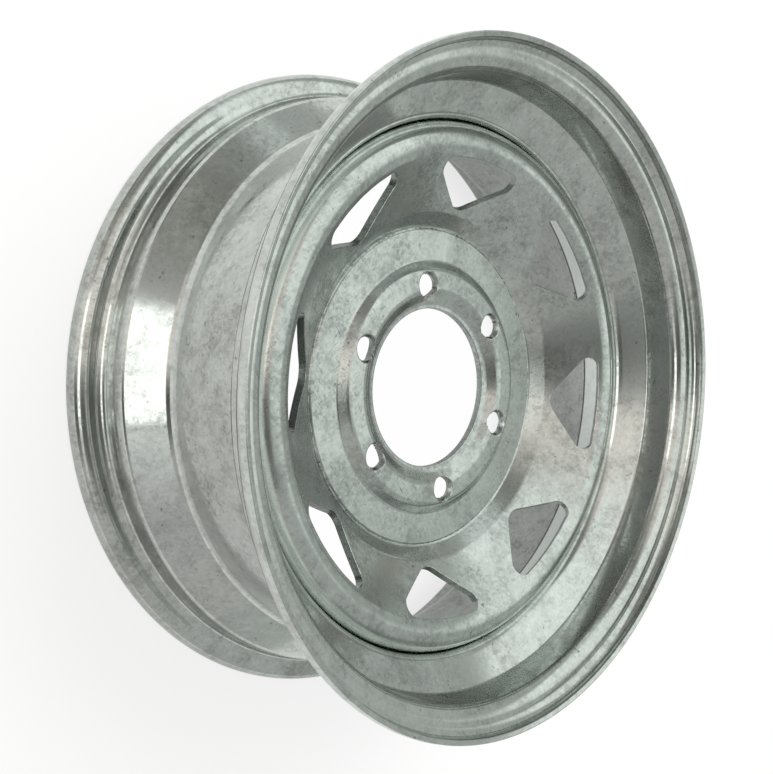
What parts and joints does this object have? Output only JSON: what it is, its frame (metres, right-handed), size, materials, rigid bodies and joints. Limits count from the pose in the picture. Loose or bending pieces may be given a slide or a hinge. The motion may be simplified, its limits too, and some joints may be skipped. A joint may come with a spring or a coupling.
{
  "type": "steel wheel rim",
  "caption": "Galvanised steel wheel: rolled drop-centre rim with a welded pressed disc, triangular windows, cone-seat stud holes and a large centre bore.",
  "frame": {"origin": "centre of the hub face, where the disc bears on the hub, on the wheel axis", "axes": "+Z along the wheel axis, outboard; +X through a stud hole"},
  "size_m": [0.4406, 0.4404, 0.1794],
  "materials": {
    "rim_steel": "hot-dip galvanised",
    "disc_steel": "hot-dip galvanised",
    "weld_steel": "hot-dip galvanised weld"
  },
  "bodies": {
    "root": {"rim": "rim_steel", "wheel_disc": "disc_steel", "disc_welds": "weld_steel"}
  },
  "joints": []
}
